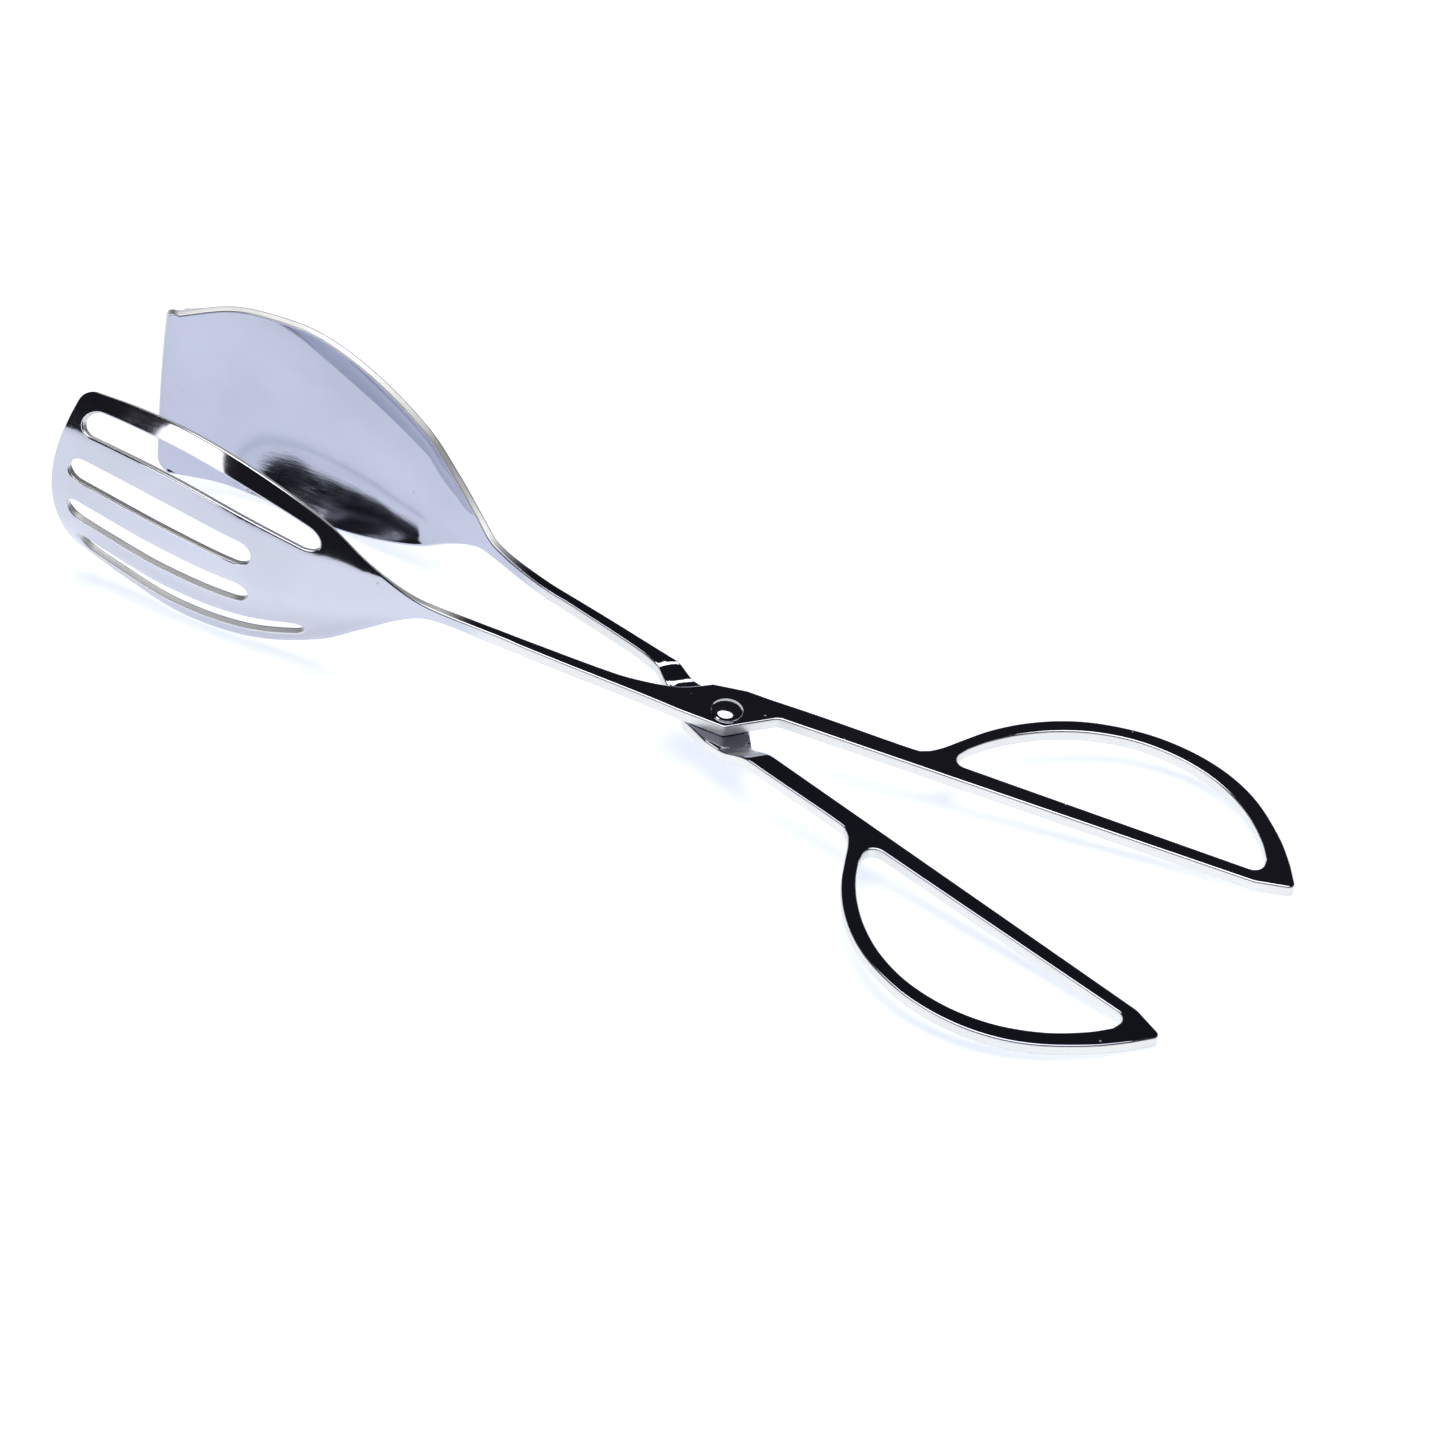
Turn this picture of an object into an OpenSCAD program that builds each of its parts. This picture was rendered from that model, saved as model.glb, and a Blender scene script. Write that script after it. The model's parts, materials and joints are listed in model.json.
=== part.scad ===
// Scissor-action serving tongs in stainless steel: a slotted scoop and a solid blade, crossed on one rivet.
// Working frame: rivet axis on Z, handles towards +X, both arms' upper faces level at z = stock_t.
// The lower (blade) arm is set down one thickness where it passes under the upper (slotted) arm.
// The finished tongs then tilt about Y until they rest on their head rims and handle tips at z = 0.

/* [Stock] */
// Thickness of the flat arms and finger loops
stock_t = 2.6; // [2.3:0.1:2.9]
// Thickness of the pressed sheet in both heads
sheet_t = 1.6; // [1.2:0.1:1.8]

/* [Arms] */
// Distance from the rivet to the handle tips
handle_len = 115; // [105:1:125]
// Distance from the rivet to the neck where each head begins
neck_x = 64; // [60:1:68]
// Width of the straight bar of a finger loop at its root
bar_w = 4.4; // [3.6:0.1:4.8]
// Height of the finger loop above its bar
loop_rise = 1; // [0.9:0.05:1.1]

/* [Heads] */
// Length of each head from neck to end
head_len = 84; // [78:1:90]
// Half of the greatest height of a head
head_half_h = 23.8; // [20:0.2:26]
// Depth of the slotted scoop from its rim to its belly
scoop_depth = 7; // [5:0.5:9]
// Depth of the blade from its rim to its belly
blade_depth = 6; // [4:0.5:8]
// Width of each slot in the scoop
slot_w = 5.6; // [4.6:0.2:6.4]

/* [Rivet] */
// Diameter of the rivet shank
rivet_d = 4; // [3.5:0.1:4.5]
// Diameter of the domed rivet head
rivet_head_d = 6.8; // [6.2:0.1:7.4]
// Height of the domed rivet head
rivet_head_h = 1.3; // [1:0.1:1.8]
// Running clearance between the rivet and the lower arm
run_gap = 0.05; // [0.02:0.01:0.1]
// Gap between the two arms where they cross
face_gap = 0.05; // [0.02:0.01:0.1]

/* [Hidden] */
$fn = 64;

steel = [0.80, 0.81, 0.85];
rivet_steel = [0.70, 0.71, 0.75];

// Joint: the set-down runs between two lines at joint_angle, measured along their normal
joint_angle = 51.8;
floor_handle_side = 7.6;
floor_head_side = 12.4;
ramp_handle_side = 7.4;
ramp_head_side = 4.6;
ramp_steps = 8;

// Reach of the cutting and bending tools, past every end of the piece
far = 150;

// How far the rivet's bore in the upper arm reaches past both faces
past_face = 1;

// Sweep of the end edge of each head: how far its corners lie behind its middle
scoop_bow = 3;
blade_bow = 1.5;

// Radius of the two corners at the end of each head
end_r = 3;

// Rivet tail, and the steps of its dome
rivet_tail_d = 6.4;
tail_h = 0.9;
tail_slope = 0.5;
dome_steps = 10;

// Head loft resolution
stations = 44;
strips = 20;

// ---- curves ------------------------------------------------------------------------------

function rot2(v, a) = [v.x * cos(a) - v.y * sin(a), v.x * sin(a) + v.y * cos(a)];
function unit(v) = v / norm(v);
function ease(t) = t * t * (3 - 2 * t);

// Catmull-Rom curve through a list of points, n pieces a span, first and last points included
function spline(p, n = 8) = [
    for (i = [0 : len(p) - 2], k = [0 : n - 1])
        span_point(p[max(i - 1, 0)], p[i], p[i + 1], p[min(i + 2, len(p) - 1)], k / n),
    p[len(p) - 1]
];
function span_point(a, b, c, d, t) =
    b + (c - a) / 2 * t + (a - 2.5 * b + 2 * c - d / 2) * t * t + (1.5 * (b - c) + (d - a) / 2) * t * t * t;

// Arc of radius r that rounds the corner b between a and c
function corner(a, b, c, r, n = 6) =
    let (u = unit(a - b), w = unit(c - b), half = acos(u * w) / 2,
         mid = b + unit(u + w) * r / sin(half),
         from = b + u * r / tan(half) - mid, turn = (180 - 2 * half) * sign(u.y * w.x - u.x * w.y))
    [for (k = [0 : n]) mid + rot2(from, turn * k / n)];

// Smooth reading of a table of rows [x, value, ...] at x, column c
function reading(table, x, c) =
    let (last = len(table) - 1,
         i = min(last - 1, max(0, len([for (row = table) if (row[0] <= x) 1]) - 1)),
         a = table[max(i - 1, 0)], b = table[i], d = table[i + 1], e = table[min(i + 2, last)],
         h = d[0] - b[0], t = (x - b[0]) / h,
         mb = (d[c] - a[c]) / (d[0] - a[0]) * h, md = (e[c] - b[c]) / (e[0] - b[0]) * h)
    b[c] * (1 + 2 * t) * (1 - t) * (1 - t) + mb * t * (1 - t) * (1 - t)
        + d[c] * t * t * (3 - 2 * t) - md * t * t * (1 - t);

// ---- flat blank of one arm ---------------------------------------------------------------

// Handle points are laid out for a handle of layout_len. Past pad_x they stretch with handle_len,
// and above loop_base with loop_rise.
layout_len = 115;
pad_x = 12;
loop_base = 24;
function stretch(p) = [
    p.x > pad_x ? pad_x + (p.x - pad_x) * (handle_len - pad_x) / (layout_len - pad_x) : p.x,
    p.y > loop_base ? loop_base + (p.y - loop_base) * loop_rise : p.y
];

bar_foot = [9.4, 4.6];
bar_slope = 0.184;
function bar_y(x) = bar_foot.y + (x - bar_foot.x) * bar_slope;
bar_end = [109, bar_y(109)];

// The shank ends short of the neck, inside the head's narrow root
shank_short = 8;
shank_end = -neck_x + shank_short;

near_shank = [[shank_end, -11.1], [-34, -8.8], [-16.4, -6.7], [-6.6, -5.8]];
far_shank = [[-6.6, 5.2], [-11.6, 0.2], [-19.5, -3.2], [-27, -4.9], [shank_end, -9.1]];
near_corner = [2.2, -4.5];
pad_back = [5, 8.6];
pad_back_corner = [0, 7.8];
loop_back = [[34, 13.8], [16.4, 10.8]];
loop_tip = [116.6, 26.4];
loop_outer = [[112.5, 31.6], [107, 37.2], [98.4, 43.6], [90, 47.2], [80.8, 48.6], [71, 47.7], [61.5, 44.4],
              [54.5, 40], [48.8, 34.4], [44.6, 28.4], [41.8, 22.6], [39.6, 17.8], [37.4, 15]];
loop_inner = [[107.6, 30.2], [104, 34.4], [97.5, 39.6], [89, 43.5], [79.6, 45], [70, 44], [61.8, 40.8],
              [55.2, 36.2], [50, 30.8], [46.3, 25.4], [44.1, 20.8]];
bar_taper = 1.1;
loop_root = [42.8, bar_y(42.8) + bar_w];
loop_end = [108.6, bar_y(108.6) + bar_w - bar_taper];

// Radii of the outline's corners in order round the arm, and of the loop opening's two corners
near_r = 1.4;
foot_r = 2.6;
heel_r = 6;
tip_r = 1.4;
back_r = 3;
hole_root_r = 2.4;
hole_end_r = 2.2;

function arm_outline() = concat(
    near_shank,
    corner(near_shank[3], near_corner, bar_foot, near_r),
    corner(near_corner, bar_foot, stretch(bar_end), foot_r),
    corner(bar_foot, stretch(bar_end), stretch(loop_tip), heel_r),
    corner(stretch(bar_end), stretch(loop_tip), stretch(loop_outer[0]), tip_r),
    spline([for (p = loop_outer) stretch(p)], 4),
    [for (p = loop_back) stretch(p)],
    [pad_back],
    corner(pad_back, pad_back_corner, far_shank[0], back_r),
    far_shank
);

function loop_hole() = concat(
    spline([for (p = loop_inner) stretch(p)], 4),
    corner(stretch(loop_inner[len(loop_inner) - 1]), stretch(loop_root), stretch(loop_end), hole_root_r),
    corner(stretch(loop_root), stretch(loop_end), stretch(loop_inner[0]), hole_end_r)
);

module arm_blank() {
    difference() {
        polygon(arm_outline());
        polygon(loop_hole());
    }
}

// ---- heads -------------------------------------------------------------------------------

// Rows along a head:
// [share of length, outward offset of rim, share of belly depth, share of half height]
scoop_table = [
    [-0.30, 8.2, 0, 0.04], [-0.167, 9.4, 0, 0.05], [0, 11.3, 0, 0.07], [0.07, 12.8, 0.08, 0.155],
    [0.165, 15.1, 0.4, 0.37], [0.27, 16.6, 0.75, 0.63], [0.45, 18.6, 1, 0.885], [0.66, 19.2, 1, 1],
    [0.85, 18.6, 0.97, 0.955], [1, 18.0, 0.93, 0.87]
];
blade_table = [
    [-0.30, 8.2, 0, 0.04], [-0.167, 9.4, 0, 0.05], [0, 12.9, 0, 0.07], [0.07, 15.4, 0.06, 0.155],
    [0.165, 17.6, 0.35, 0.37], [0.27, 18.9, 0.7, 0.63], [0.45, 20.1, 1, 0.885], [0.62, 20.6, 1, 1],
    [0.76, 19.7, 0.8, 0.99], [0.88, 17.5, 0.5, 0.95], [1, 11.6, 0.25, 0.87]
];

// How far the rounded end corners lie behind the end edge, at share w of the half height
function setback(w) =
    let (past = max(0, abs(w) * head_half_h - (head_half_h - end_r)))
    end_r - sqrt(end_r * end_r - min(past, end_r) ^ 2);

// Share by which the middle line of each head lies above the arms' middle
scoop_lean = 0;
blade_lean = 0.03;

// A head's shape: [table, belly depth, bow of its end edge, lean]
scoop = [scoop_table, scoop_depth, scoop_bow, scoop_lean];
blade = [blade_table, blade_depth, blade_bow, blade_lean];

// Point on the mid surface: s runs along the head, w across it from -1 to 1
function head_point(head, s, w) =
    let (table = head[0], depth = head[1], bow = head[2], lean = head[3],
         z = reading(table, s, 3) * head_half_h * (w + lean) / (1 - lean))
    [-neck_x - s * (head_len - bow * w * w) + max(0, s) ^ 4 * setback(w),
     reading(table, s, 1) + depth * reading(table, s, 2) * (1 - w * w), stock_t / 2 + z];

function head_normal(head, s, w) =
    let (d = 0.01, sa = min(s, 1 - d), wa = min(w, 1 - d))
    unit(cross(head_point(head, sa + d, wa) - head_point(head, sa, wa),
               head_point(head, sa, wa + d) - head_point(head, sa, wa)));

// Sheet of even thickness on both sides of the mid surface, as rings of points round its section.
// The points of a ring lie closest together at the rims, where the end corners are rounded.
// The loft starts head_lap inside the shank, so that head and arm are one piece.
head_lap = 6;
loft_start = -(shank_short + head_lap) / head_len;
ring = 2 * (strips + 1);

function head_skin(head) = [
    for (i = [0 : stations], side = [1, -1], k = [0 : strips])
        let (s = loft_start + (1 - loft_start) * i / stations, w = side * sin(180 * k / strips - 90))
        head_point(head, s, w) + side * head_normal(head, s, w) * sheet_t / 2
];

module head_sheet(head) {
    sides = [
        for (i = [0 : stations - 1], j = [0 : ring - 1])
            let (a = i * ring + j, b = i * ring + (j + 1) % ring)
            each [[a, b, b + ring], [a, b + ring, a + ring]]
    ];
    caps = [
        for (base = [0, stations * ring], k = [0 : strips - 1])
            let (a = base + k, b = base + k + 1, c = base + ring - 1 - k, d = c - 1)
            each base == 0 ? [[a, c, d], [a, d, b]] : [[a, d, c], [a, b, d]]
    ];
    polyhedron(head_skin(head), concat(sides, caps));
}

// Slots: [centre in pitches from the middle, end nearer the neck, end nearer the scoop's end],
// the two ends as shares of the head's length, and so is slot_end, the depth of each round end
slot_pitch = 11.37;
slot_end = 0.04;
slot_rows = [[1.5, 0.27, 0.955], [0.5, 0.415, 0.955], [-0.5, 0.415, 0.955], [-1.5, 0.29, 0.955]];
slot_steps = 12;

// Opening with long sides that follow the rims and half-round ends, cut across the scoop
module slot_cutter(row) {
    half_w = slot_w / 2 / head_half_h;
    mid_w = row[0] * slot_pitch / head_half_h;
    edge = [
        for (end = [[row[2], -1], [row[1], 1]], k = [0 : slot_steps])
            let (round_in = 1 - sin(180 * k / slot_steps), across = 2 * k / slot_steps - 1)
            [end[0] + end[1] * slot_end * round_in, end[1] * across]
    ];
    rotate([90, 0, 0]) linear_extrude(far, center = true)
        polygon([for (e = edge)
            let (p = head_point(scoop, e[0], mid_w + e[1] * half_w)) [p.x, p.z]]);
}

// ---- set-down of the lower arm -----------------------------------------------------------

// Heights of the lower arm's upper face along the normal of the set-down lines
function ramp(from, to, z0, z1) = [for (k = [0 : ramp_steps])
    [from + (to - from) * k / ramp_steps, z0 + (z1 - z0) * ease(k / ramp_steps)]];

set_down_top = concat(
    [[-far, stock_t]],
    ramp(-floor_head_side - ramp_head_side, -floor_head_side, stock_t, -face_gap),
    ramp(floor_handle_side, floor_handle_side + ramp_handle_side, -face_gap, stock_t),
    [[far, stock_t]]
);

// Bent sheet that reaches past the arm on every side
module set_down_sheet() {
    lower = [for (i = [len(set_down_top) - 1 : -1 : 0]) set_down_top[i] - [0, stock_t]];
    rotate([0, 0, joint_angle - 90]) rotate([90, 0, 0]) linear_extrude(2 * far, center = true)
        polygon(concat(set_down_top, lower));
}

// ---- pieces ------------------------------------------------------------------------------

// Resting attitude: the whole tilts about Y until the head rims and the handle tips share one level
tip_x = max([for (p = arm_outline()) p.x]);
skin_points = concat(head_skin(scoop), head_skin(blade));
rest_tilt = max([for (p = skin_points) atan(-p.z / (tip_x - p.x))]);
rest_lift = tip_x * sin(rest_tilt);
rest_end_x = min([for (p = skin_points) p.x * cos(rest_tilt) + p.z * sin(rest_tilt)]);
rest_mid_x = (rest_end_x + tip_x * cos(rest_tilt) + stock_t * sin(rest_tilt)) / 2;

module at_rest() {
    translate([-rest_mid_x, 0, rest_lift]) rotate([0, rest_tilt, 0]) children();
}

module slotted_half() {
    color(steel) at_rest() difference() {
        union() {
            linear_extrude(stock_t) arm_blank();
            mirror([0, 1, 0]) head_sheet(scoop);
        }
        translate([0, 0, -past_face]) cylinder(d = rivet_d, h = stock_t + 2 * past_face);
        for (row = slot_rows) slot_cutter(row);
    }
}

module blade_half() {
    color(steel) at_rest() difference() {
        union() {
            intersection() {
                mirror([0, 1, 0]) translate([0, 0, -2 * stock_t]) linear_extrude(4 * stock_t) arm_blank();
                set_down_sheet();
            }
            head_sheet(blade);
        }
        translate([0, 0, -2 * stock_t]) cylinder(d = rivet_d + 2 * run_gap, h = 3 * stock_t);
    }
}

// Domed head above, shank through both arms, low peened tail below
module rivet() {
    pad_under = -face_gap - stock_t;
    tail_end = pad_under - tail_h;
    tail_top = pad_under - run_gap;
    tail = [[0, tail_end], [rivet_tail_d / 2 - tail_slope, tail_end], [rivet_tail_d / 2, tail_top]];
    shank = [[rivet_d / 2, tail_top], [rivet_d / 2, stock_t]];
    dome = [for (k = [0 : dome_steps])
        let (a = 90 * k / dome_steps)
        [rivet_head_d / 2 * cos(a), stock_t + rivet_head_h * sin(a)]];
    color(rivet_steel) at_rest() rotate_extrude() polygon(concat(tail, shank, dome));
}

slotted_half();
blade_half();
rivet();
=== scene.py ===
import json
import math

import bmesh
import bpy
from mathutils import Matrix, Vector
from mathutils.geometry import delaunay_2d_cdt


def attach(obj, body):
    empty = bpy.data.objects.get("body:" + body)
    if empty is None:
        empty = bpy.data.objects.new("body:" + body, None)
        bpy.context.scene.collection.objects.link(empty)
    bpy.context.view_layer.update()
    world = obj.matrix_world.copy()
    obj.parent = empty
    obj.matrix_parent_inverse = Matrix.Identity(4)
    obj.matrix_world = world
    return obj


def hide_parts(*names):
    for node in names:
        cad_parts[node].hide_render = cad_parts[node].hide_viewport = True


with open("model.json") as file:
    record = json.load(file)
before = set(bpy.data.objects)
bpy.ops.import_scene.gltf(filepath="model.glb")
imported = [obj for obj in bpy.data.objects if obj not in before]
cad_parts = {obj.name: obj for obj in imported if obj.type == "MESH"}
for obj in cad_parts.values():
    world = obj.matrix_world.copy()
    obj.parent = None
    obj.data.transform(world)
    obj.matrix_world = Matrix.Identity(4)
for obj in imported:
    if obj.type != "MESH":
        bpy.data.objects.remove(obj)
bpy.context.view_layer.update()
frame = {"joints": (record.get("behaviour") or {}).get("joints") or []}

# Shapes are laid out in millimetres in the joint's own frame: rivet axis on Z, handles towards +X,
# and the arms' upper faces level at z = STOCK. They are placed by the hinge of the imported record.

MM = 0.001

# Thickness of the arms and of the heads, and the gaps between the arms and round the rivet
STOCK = 2.6
SHEET = 1.6
FACE_GAP = 0.05
RUN_GAP = 0.05

# Heads: where they begin, their length, half height and end corners, then depth, bow of the end
# edge and upward lean of each
NECK = 64.0
HEAD_LEN = 84.0
HALF_H = 23.8
END_R = 3.0
SCOOP_DEPTH = 7.0
SCOOP_BOW = 3.0
SCOOP_LEAN = 0.0
BLADE_DEPTH = 6.0
BLADE_BOW = 1.5
BLADE_LEAN = 0.03

# Rivet: shank, domed head, and peened tail
SHANK_R = 2.0
DOME_R = 3.4
DOME_H = 1.3
TAIL_R = 3.2

# Rounding of every edge, and the plane in which the meshes of arm and head meet
EDGE_R = 0.42
EDGE_STEPS = 4
CUT_X = -44.0


# ---- curves --------------------------------------------------------------------------------

# Points closer together than this count as one
NEAR_DOUBLE = 0.05


def ease(t):
    t = min(max(t, 0.0), 1.0)
    return t * t * (3 - 2 * t)


def spline(points, n):
    """Catmull-Rom curve through 2D points, n pieces a span."""
    points = [Vector(p) for p in points]
    out = []
    for i in range(len(points) - 1):
        a = points[max(i - 1, 0)]
        b = points[i]
        c = points[i + 1]
        d = points[min(i + 2, len(points) - 1)]
        for k in range(n):
            t = k / n
            out.append(
                b
                + (c - a) / 2 * t
                + (a - 2.5 * b + 2 * c - d / 2) * t * t
                + (1.5 * (b - c) + (d - a) / 2) * t**3
            )
    out.append(points[-1])
    return out


def corner(a, b, c, r, n=8):
    """Arc of radius r that rounds the corner b between a and c."""
    a, b, c = Vector(a), Vector(b), Vector(c)
    u = (a - b).normalized()
    w = (c - b).normalized()
    half = math.acos(u.dot(w)) / 2
    mid = b + (u + w).normalized() * r / math.sin(half)
    start = b + u * r / math.tan(half) - mid
    turn = math.copysign(math.pi - 2 * half, u.y * w.x - u.x * w.y)
    out = []
    for k in range(n + 1):
        out.append(mid + Matrix.Rotation(turn * k / n, 2) @ start)
    return out


def reading(table, x, col):
    """Smooth reading of a table of rows at x, column col."""
    last = len(table) - 1
    i = min(last - 1, max(0, sum(row[0] <= x for row in table) - 1))
    a = table[max(i - 1, 0)]
    b = table[i]
    d = table[i + 1]
    e = table[min(i + 2, last)]
    h = d[0] - b[0]
    t = (x - b[0]) / h
    mb = (d[col] - a[col]) / (d[0] - a[0]) * h
    md = (e[col] - b[col]) / (e[0] - b[0]) * h
    rise = t * t * (3 - 2 * t)
    return (
        b[col] * (1 - rise)
        + mb * t * (1 - t) * (1 - t)
        + d[col] * rise
        - md * t * t * (1 - t)
    )


def refine(points, step, closed):
    """The same polyline with long segments cut to step and near-doubles left out."""
    out = []
    count = len(points)
    for i in range(count if closed else count - 1):
        a = points[i]
        b = points[(i + 1) % count]
        length = (b - a).length
        if length < NEAR_DOUBLE:
            continue
        pieces = max(1, round(length / step))
        for k in range(pieces):
            out.append(a.lerp(b, k / pieces))
    if not closed:
        out.append(points[-1])
    return out


# ---- the flat arm --------------------------------------------------------------------------

BAR_FOOT = Vector((9.4, 4.6))
BAR_SLOPE = 0.184
BAR_W = 4.4
BAR_TAPER = 1.1
NEAR_SHANK = [(-56, -11.1), (-34, -8.8), (-16.4, -6.7), (-6.6, -5.8)]
FAR_SHANK = [(-6.6, 5.2), (-11.6, 0.2), (-19.5, -3.2), (-27, -4.9), (-56, -9.1)]
NEAR_CORNER = (2.2, -4.5)
LOOP_TIP = (116.6, 26.4)
# The loop's highest point is 0.02 below the CAD's, since the rounder curve here rises past its points
LOOP_OUTER = [
    (112.5, 31.6), (107, 37.2), (98.4, 43.6), (90, 47.2), (80.8, 48.58), (71, 47.7), (61.5, 44.4),
    (54.5, 40), (48.8, 34.4), (44.6, 28.4), (41.8, 22.6), (39.6, 17.8), (37.4, 15),
]
LOOP_INNER = [
    (107.6, 30.2), (104, 34.4), (97.5, 39.6), (89, 43.5), (79.6, 45), (70, 44), (61.8, 40.8),
    (55.2, 36.2), (50, 30.8), (46.3, 25.4), (44.1, 20.8),
]
BACK = [(34, 13.8), (16.4, 10.8), (5, 8.6)]
BACK_CORNER = (0, 7.8)
BAR_END_X = 109
LOOP_ROOT_X = 42.8
LOOP_END_X = 108.6

# A point inside the loop opening
LOOP_CENTRE = Vector((76, 31, 0))

# Radii of the outline's corners in order round the arm, and of the loop opening's two corners
NEAR_R = 1.4
FOOT_R = 2.6
HEEL_R = 6
TIP_R = 1.4
BACK_R = 3
HOLE_ROOT_R = 2.4
HOLE_END_R = 2.2

# Pieces a span of the shank's curves and of the loop's
SHANK_PIECES = 4
LOOP_PIECES = 8


def bar_y(x):
    return BAR_FOOT.y + (x - BAR_FOOT.x) * BAR_SLOPE


BAR_END = (BAR_END_X, bar_y(BAR_END_X))
LOOP_ROOT = (LOOP_ROOT_X, bar_y(LOOP_ROOT_X) + BAR_W)
LOOP_END = (LOOP_END_X, bar_y(LOOP_END_X) + BAR_W - BAR_TAPER)


def at_cut(points):
    """Y where the line through 2D points crosses the plane in which arm and head meet."""
    for a, b in zip(points, points[1:]):
        if (a[0] - CUT_X) * (b[0] - CUT_X) <= 0:
            return a[1] + (b[1] - a[1]) * (CUT_X - a[0]) / (b[0] - a[0])


NEAR_CUT = at_cut(NEAR_SHANK)
FAR_CUT = at_cut(FAR_SHANK)
CUT_Y = (NEAR_CUT + FAR_CUT) / 2
CUT_W = FAR_CUT - NEAR_CUT


def arm_path():
    """Outline of the flat arm from one side of the cut round the handle to the other side."""
    near = spline([(CUT_X, NEAR_CUT)] + NEAR_SHANK[1:], SHANK_PIECES)[:-1]
    far = spline(FAR_SHANK[:-1] + [(CUT_X, FAR_CUT)], SHANK_PIECES)
    return (
        near
        + corner(NEAR_SHANK[-1], NEAR_CORNER, BAR_FOOT, NEAR_R)
        + corner(NEAR_CORNER, BAR_FOOT, BAR_END, FOOT_R)
        + corner(BAR_FOOT, BAR_END, LOOP_TIP, HEEL_R)
        + corner(BAR_END, LOOP_TIP, LOOP_OUTER[0], TIP_R)
        + spline(LOOP_OUTER + BACK, LOOP_PIECES)
        + corner(BACK[-1], BACK_CORNER, FAR_SHANK[0], BACK_R)
        + far
    )


def loop_hole():
    """Outline of the opening in the finger loop."""
    return (
        spline(LOOP_INNER, LOOP_PIECES)
        + corner(LOOP_INNER[-1], LOOP_ROOT, LOOP_END, HOLE_ROOT_R)
        + corner(LOOP_ROOT, LOOP_END, LOOP_INNER[0], HOLE_END_R)
    )


# ---- set-down of the blade half ------------------------------------------------------------

# It runs between two lines at this angle. Distances are along their normal, on the side of the
# handle and of the head: half width of the flat floor, then length of the ramp up from it.
JOINT_ANGLE = math.radians(51.8)
FLOOR_HANDLE = 7.6
FLOOR_HEAD = 12.4
RAMP_HANDLE = 7.4
RAMP_HEAD = 4.6


def along_normal(x, y):
    return x * math.sin(JOINT_ANGLE) + y * math.cos(JOINT_ANGLE)


def set_down(x, y):
    """Share of the set-down at a point of the blade half's arm, y as in the slotted half."""
    d = along_normal(x, y)
    handle = 1 - ease((d - FLOOR_HANDLE) / RAMP_HANDLE)
    head = 1 - ease((-d - FLOOR_HEAD) / RAMP_HEAD)
    return handle * head


def handle_bend(x, y):
    """1 in the middle of the bend on the handle side, 0 on the flats."""
    share = ease((along_normal(x, y) - FLOOR_HANDLE) / RAMP_HANDLE)
    return 4 * share * (1 - share)


# ---- heads ---------------------------------------------------------------------------------

# Rows along a head:
# share of length, outward offset of rim, share of belly depth, share of half height
SCOOP = [
    (-0.30, 8.2, 0, 0.04), (-0.167, 9.4, 0, 0.05), (0, 11.3, 0, 0.07), (0.07, 12.8, 0.08, 0.155),
    (0.165, 15.1, 0.4, 0.37), (0.27, 16.6, 0.75, 0.63), (0.45, 18.6, 1, 0.885), (0.66, 19.2, 1, 1),
    (0.85, 18.6, 0.97, 0.955), (1, 18.0, 0.93, 0.87),
]
BLADE = [
    (-0.30, 8.2, 0, 0.04), (-0.167, 9.4, 0, 0.05), (0, 12.9, 0, 0.07), (0.07, 15.4, 0.06, 0.155),
    (0.165, 17.6, 0.35, 0.37), (0.27, 18.9, 0.7, 0.63), (0.45, 20.1, 1, 0.885), (0.62, 20.6, 1, 1),
    (0.76, 19.7, 0.8, 0.99), (0.88, 17.5, 0.5, 0.95), (1, 11.6, 0.25, 0.87),
]

# Shares of a head's length at which it meets the arm, has its full form, and has its own edge grind
# and painted sheen
S_CUT = (-NECK - CUT_X) / HEAD_LEN
S_BLEND = 0.08
S_POLISH = 0.02

# Slots: width, spacing and depth of the round ends (a share of length), then a row for each:
# centre in pitches from the middle, and the ends nearer the neck and nearer the scoop's end
SLOT_W = 5.6
SLOT_PITCH = 11.37
SLOT_END = 0.04
SLOTS = [(1.5, 0.27, 0.955), (0.5, 0.415, 0.955), (-0.5, 0.415, 0.955), (-1.5, 0.29, 0.955)]


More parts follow.
